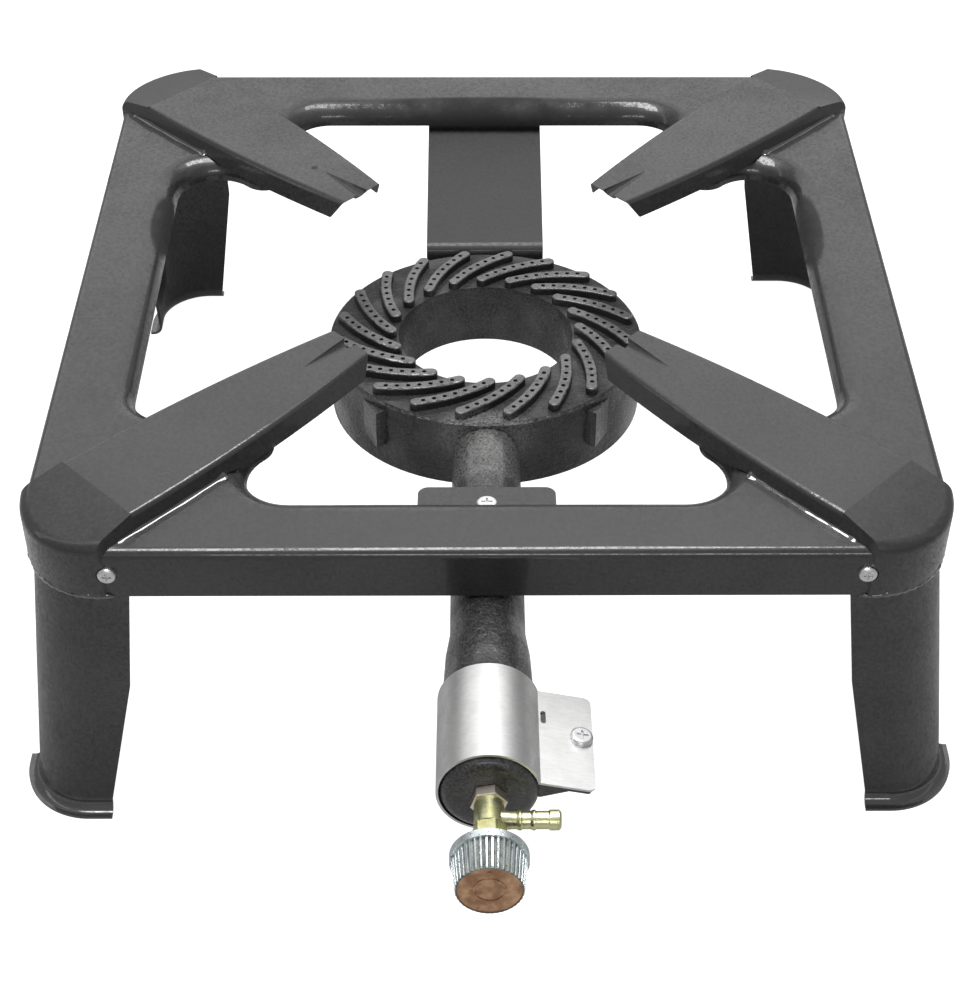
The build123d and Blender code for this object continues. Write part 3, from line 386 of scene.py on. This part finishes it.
def bright_steel(name, colour, roughness, along, scale=1.0):
    """Rolled or turned metal with fine lines along the named axes, faint blotches and small dark
    scratches."""
    finish = Finish(name, colour, roughness, 1.0)
    stretch = tuple(26.0 * scale if axis in along else 900.0 * scale for axis in "xyz")
    lines = finish.noise(1.0, 3.0, 0.6, finish.place(scale=stretch))
    blotches = finish.noise(90.0 * scale, 4.0, 0.6)
    slanting = finish.place(scale=(1.0, 3.4, 1.0), turn=(0.4, 0.2, 0.7))
    scratches = 1.0 - finish.cells(210.0 * scale, slanting).ramp(0.04, 0.1)
    marks = scratches * blotches.ramp(0.48, 0.62)
    dulled = (blotches.ramp(0.35, 0.75) * 0.4 + lines.ramp(0.3, 0.8) * 0.25).clamped()
    tone = finish.mix(dulled, colour, shade(colour, 0.55))
    rough = roughness - 0.05 + lines * 0.16 + blotches.ramp(0.4, 0.8) * 0.12
    finish.feed("Base Color", finish.mix(marks * 0.8, tone, shade(colour, 0.2)))
    finish.feed("Roughness", rough.clamped())
    finish.bump(lines * 0.35 - marks * 0.4, 0.00022, 0.6)
    return finish.material


def pale_brass():
    """Turned brass with a yellow green cast, darker where it has tarnished."""
    finish = Finish("pale_brass", (0.78, 0.7, 0.42), 0.26, 1.0)
    tarnish = finish.noise(140.0, 4.0, 0.65)
    tooling = finish.noise(1.0, 2.0, 0.5, finish.place(scale=(160.0, 1500.0, 160.0)))
    spots = 1.0 - finish.cells(420.0).ramp(0.06, 0.16)
    tone = finish.mix(tarnish.ramp(0.42, 0.72), (0.74, 0.74, 0.45), (0.45, 0.43, 0.2))
    tone = finish.mix(spots * tarnish.ramp(0.5, 0.6), tone, (0.14, 0.12, 0.06))
    finish.feed("Base Color", tone)
    finish.feed("Roughness", (0.24 + tarnish.ramp(0.4, 0.8) * 0.24 + tooling * 0.08).clamped())
    finish.bump(tooling * 0.4 - spots * 0.25, 0.00018, 0.6)
    return finish.material


def knob_ends():
    """Distances of the knob's back and front along the tube from its start."""
    points = nodes["knob_shell"].data.vertices
    stations = [(point.co - TUBE_START).dot(TUBE_DIR) for point in points]
    return min(stations), max(stations)


def knob_plating():
    """Dull bluish plating over a cast knob, with worn dark spots and painted shade in its flutes.
    """
    finish = Finish("knob_plating", (0.62, 0.68, 0.72), 0.3, 0.92)
    haze = finish.noise(210.0, 4.0, 0.65)
    spots = 1.0 - finish.cells(820.0).ramp(0.14, 0.34)
    back, front = knob_ends()
    cone_start = back + KNOB_RIM_WIDTH
    slope = KNOB_TAPER / (front - cone_start)
    offset = finish.place(shift=tuple(-TUBE_START))
    station = finish.along(TUBE_DIR, offset)
    arm = finish.vector("CROSS_PRODUCT", "Vector", offset, tuple(TUBE_DIR))
    radius = finish.vector("LENGTH", "Value", arm)
    cone = KNOB_RADIUS - (station - cone_start) * slope
    # Painted shade: the flutes get darker and rougher towards their bottoms
    flute_shade = (cone - radius).ramp(*FLUTE_SHADE)
    tone = finish.mix(haze.ramp(0.35, 0.7), (0.82, 0.88, 0.88), (0.58, 0.64, 0.66))
    tone = finish.mix(flute_shade * 0.8, tone, (0.06, 0.065, 0.05))
    tone = finish.mix(spots * haze.ramp(0.48, 0.6), tone, (0.07, 0.066, 0.045))
    finish.feed("Base Color", tone)
    finish.feed("Roughness", (0.24 + haze.ramp(0.4, 0.75) * 0.25 + flute_shade * 0.4).clamped())
    finish.bump(haze * 0.6 - spots * 0.3, 0.0003, 0.6)
    return finish.material


def knob_disc():
    """Brown lacquered disc with a grainy, cloudy ground."""
    finish = Finish("knob_disc", (0.5, 0.3, 0.18), 0.36, 0.6)
    ground = finish.noise(700.0, 4.0, 0.7)
    cloud = finish.noise(160.0, 3.0, 0.6)
    tone = finish.mix(cloud.ramp(0.35, 0.7), (0.36, 0.19, 0.1), (0.7, 0.43, 0.25))
    finish.feed("Base Color", finish.mix(ground.ramp(0.55, 0.8), tone, (0.8, 0.6, 0.42)))
    finish.feed("Roughness", (0.3 + ground.ramp(0.4, 0.7) * 0.25).clamped())
    finish.bump(ground * 0.5, 0.0003, 0.6)
    return finish.material


def gland_fibre():
    """Dark fibre packing."""
    finish = Finish("packing", (0.03, 0.03, 0.03), 0.8)
    fibres = finish.noise(1500.0, 3.0, 0.6)
    finish.feed("Base Color", finish.mix(fibres, (0.015, 0.015, 0.015), (0.06, 0.06, 0.055)))
    finish.bump(fibres, 0.0002, 0.5)
    return finish.material


frame_enamel = enamel("frame_enamel", ENAMEL_BLACK, 0.34, LIP_SHADE_OVALS)
arm_enamel = enamel("arm_enamel", ENAMEL_BLACK, 0.34, ARM_DIMPLE_SHADE, bent=True)
leg_enamel = enamel("leg_enamel", ENAMEL_BLACK, 0.34, foot=FOOT_LIP)
# Lit and shaded copies of the black enamel: the rear strap is painted darker as shade, the front
# strap painted lighter as light
shaded_back_enamel = enamel("shaded_back_enamel", (0.016, 0.016, 0.0165), 0.5, shine=0.3)
lit_strap_enamel = enamel("lit_strap_enamel", (0.026, 0.026, 0.0265), 0.42)
zinc = bright_steel("zinc_screws", (0.78, 0.78, 0.79), 0.34, "xyz", 2.0)
brass = pale_brass()

finishes = {
    "frame_ring": frame_enamel,
    "rear_burner_strap": shaded_back_enamel,
    "front_burner_strap": lit_strap_enamel,
    "burner_casting": cast_paint(),
    "leg_screws": zinc,
    "leg_nuts": zinc,
    "strap_screws": zinc,
    "shutter_screw": zinc,
    "shutter_nut": zinc,
    "air_shutter_band": bright_steel("bright_band", (0.74, 0.74, 0.735), 0.37, "x"),
    "valve_locknut": bright_steel("plated_nut", (0.88, 0.8, 0.69), 0.28, "z", 2.0),
    "valve_body": brass,
    "hose_barb": brass,
    "gland_nut": brass,
    "injector_jet": brass,
    "gland_packing": gland_fibre(),
    "needle_spindle": bright_steel("spindle", (0.66, 0.66, 0.66), 0.24, "xz", 2.0),
    "knob_shell": knob_plating(),
    "knob_face": knob_disc(),
}
for corner in ("front_left", "front_right", "rear_left", "rear_right"):
    finishes[f"pan_arm_{corner}"] = arm_enamel
    finishes[f"leg_{corner}"] = leg_enamel

for name, material in finishes.items():
    slots = nodes[name].material_slots
    if not slots:
        nodes[name].data.materials.append(material)
    for slot in slots:
        slot.material = material


# Enamel pools where the walls of the arms stand on the rails, and beads under the corners


def add_skin(mesh, rings):
    """Closed skin over a row of rings, each a list of points, by bridging each to the next."""
    loops = []
    for points in rings:
        verts = [mesh.verts.new(point) for point in points]
        loops.append([mesh.edges.new(pair) for pair in zip(verts, verts[1:] + verts[:1])])
    for before, after in zip(loops, loops[1:]):
        bmesh.ops.bridge_loops(mesh, edges=before + after)
    for loop in (loops[0], loops[-1]):
        bmesh.ops.contextual_create(mesh, geom=loop)


def arm_half_width(reach):
    """Half width of an arm at the height of the rails, at a distance from the stove's centre, on
    the curve through its three stations."""
    total = 0.0
    for station, half_width in zip(ARM_STATIONS, ARM_HALF_WIDTHS):
        for other in ARM_STATIONS:
            if other != station:
                half_width *= (reach - other) / (station - other)
        total += half_width
    return total


def swell(share, place, width):
    """1 at a place along a pool, falling away to both sides."""
    return math.exp(-(((share - place) / width) ** 2))


def end_taper(share, power):
    """1 along most of a pool or bead and 0 at its two ends."""
    return math.sqrt(max(0.0, 1.0 - (2.0 * share - 1.0) ** power))


def add_pool(mesh, x_sign, y_sign, side):
    """A sagging fillet of enamel along the foot of one wall, thicker at its two ends."""
    outwards = Vector((x_sign, y_sign, 0.0)).normalized()
    across = Vector((-y_sign, x_sign, 0.0)).normalized() * side
    rings = []
    for i in range(POOL_STATIONS):
        share = i / (POOL_STATIONS - 1)
        reach = POOL_START + (POOL_END - POOL_START) * share
        ends = 1.1 * swell(share, 0.03, 0.035) + 0.8 * swell(share, 0.97, 0.03)
        wobble = 0.12 * math.sin(17.0 * share + 5.0 * x_sign)
        wobble += 0.04 * math.sin(51.0 * share + y_sign)
        size = POOL_SIZE * (1.0 + ends + wobble) * end_taper(share, 24) + POOL_END_SIZE
        foot = outwards * reach + across * arm_half_width(reach) + Vector((0.0, 0.0, FRAME_TOP))
        low = Vector((0.0, 0.0, -POOL_SINK)) - across * POOL_LAP
        high = Vector((0.0, 0.0, size)) - across * (size * WALL_SPLAY + POOL_LAP)
        ring = [foot + low]
        for step in range(POOL_STEPS + 1):
            t = step / POOL_STEPS
            sunk = Vector((0.0, 0.0, -POOL_SINK / 3.0 * (1.0 - t)))
            ring.append(foot + across * size * (1.0 - t) ** 2 + high * t**2 + sunk)
        rings.append(ring)
    add_skin(mesh, rings)


def add_bead(mesh, x_sign, y_sign):
    """An uneven bead of enamel that has run down to the skirt's lower edge round one corner."""
    middle = Vector((x_sign * CORNER_CENTRE, y_sign * CORNER_CENTRE, SKIRT_FOOT))
    rings = []
    for i in range(BEAD_STATIONS):
        share = i / (BEAD_STATIONS - 1)
        angle = math.radians(BEAD_FROM + BEAD_TURN * share)
        wave = math.sin(17.0 * share + x_sign) + 0.6 * math.sin(43.0 * share + 2.0 * y_sign)
        fine = math.sin(97.0 * share + 3.0 * x_sign)
        size = BEAD_SIZE + 0.00025 * wave + 0.00012 * fine
        size = size * end_taper(share, 12) + BEAD_END_SIZE
        out = Vector((x_sign * math.cos(angle), y_sign * math.sin(angle), 0.0))
        lift = Vector((0.0, 0.0, 0.00045 * wave))
        ring = []
        for step in range(BEAD_SIDES):
            turn = math.tau * step / BEAD_SIDES
            upwards = Vector((0.0, 0.0, 1.5 * size * math.sin(turn)))
            ring.append(middle + out * (CORNER_RADIUS + size * math.cos(turn)) + upwards + lift)
        rings.append(ring)
    add_skin(mesh, rings)


def add_enamel_pools():
    mesh = bmesh.new()
    for x_sign in (-1.0, 1.0):
        for y_sign in (-1.0, 1.0):
            for side in (-1.0, 1.0):
                add_pool(mesh, x_sign, y_sign, side)
            add_bead(mesh, x_sign, y_sign)
    bmesh.ops.recalc_face_normals(mesh, faces=mesh.faces)
    for face in mesh.faces:
        face.smooth = True
    data = bpy.data.meshes.new("enamel_pools")
    mesh.to_mesh(data)
    mesh.free()
    data.materials.append(pool_glaze())
    pools = bpy.data.objects.new("enamel_pools", data)
    bpy.context.scene.collection.objects.link(pools)
    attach(pools, "stove")


# Floor, world and lamps


def add_floor():
    tone = (FLOOR_TONE, FLOOR_TONE, FLOOR_TONE)
    finish = Finish("floor", tone, 0.9, Specular_IOR_Level=0.05)
    finish.shader.inputs["Emission Color"].default_value = (1.0, 1.0, 1.0, 1.0)
    finish.feed("Emission Strength", finish.backdrop_share())
    mesh = bmesh.new()
    bmesh.ops.create_grid(mesh, x_segments=1, y_segments=1, size=FLOOR_HALF_SIZE)
    data = bpy.data.meshes.new("floor")
    mesh.to_mesh(data)
    mesh.free()
    data.materials.append(finish.material)
    floor = bpy.data.objects.new("floor", data)
    bpy.context.scene.collection.objects.link(floor)


def add_world():
    world = bpy.data.worlds.new("studio")
    bpy.context.scene.world = world
    world.use_nodes = True
    graph = Graph(world.node_tree)
    background = graph.tree.nodes["Background"]
    background.inputs["Color"].default_value = (1.0, 1.0, 1.0, 1.0)
    strength = graph.backdrop_share() * (1.0 - WORLD_LIGHT) + WORLD_LIGHT
    graph.tree.links.new(strength.socket, background.inputs["Strength"])


def add_lamp(name, place, target, size, power):
    """A rectangular lamp at a place, turned to a target; its size in metres and power in watts."""
    data = bpy.data.lights.new(name, "AREA")
    data.shape = "RECTANGLE"
    data.size, data.size_y = size
    data.energy = power
    lamp = bpy.data.objects.new(name, data)
    bpy.context.scene.collection.objects.link(lamp)
    aim = Vector(target) - Vector(place)
    turn = aim.to_track_quat("-Z", "Y").to_matrix().to_4x4()
    lamp.matrix_world = Matrix.Translation(place) @ turn


add_enamel_pools()
add_camera()
add_floor()
add_world()
add_lamp("backdrop", (-0.15, 1.9, 1.35), (0.0, 0.0, 0.15), (3.4, 1.6), 14.5)
add_lamp("overhead", (-0.05, 0.05, 1.35), (0.0, 0.0, 0.1), (1.1, 0.48), 20.0)
add_lamp("left_strip", (-1.25, -0.2, 0.9), (0.0, 0.0, 0.1), (0.25, 1.4), 1.1)
add_lamp("right_strip", (1.25, -0.2, 0.9), (0.0, 0.0, 0.1), (0.25, 1.4), 0.3)
add_lamp("front_fill", (0.1, -1.7, 0.9), (0.0, -0.1, 0.1), (0.9, 0.3), 5.0)
bpy.context.scene.view_settings.view_transform = "Standard"
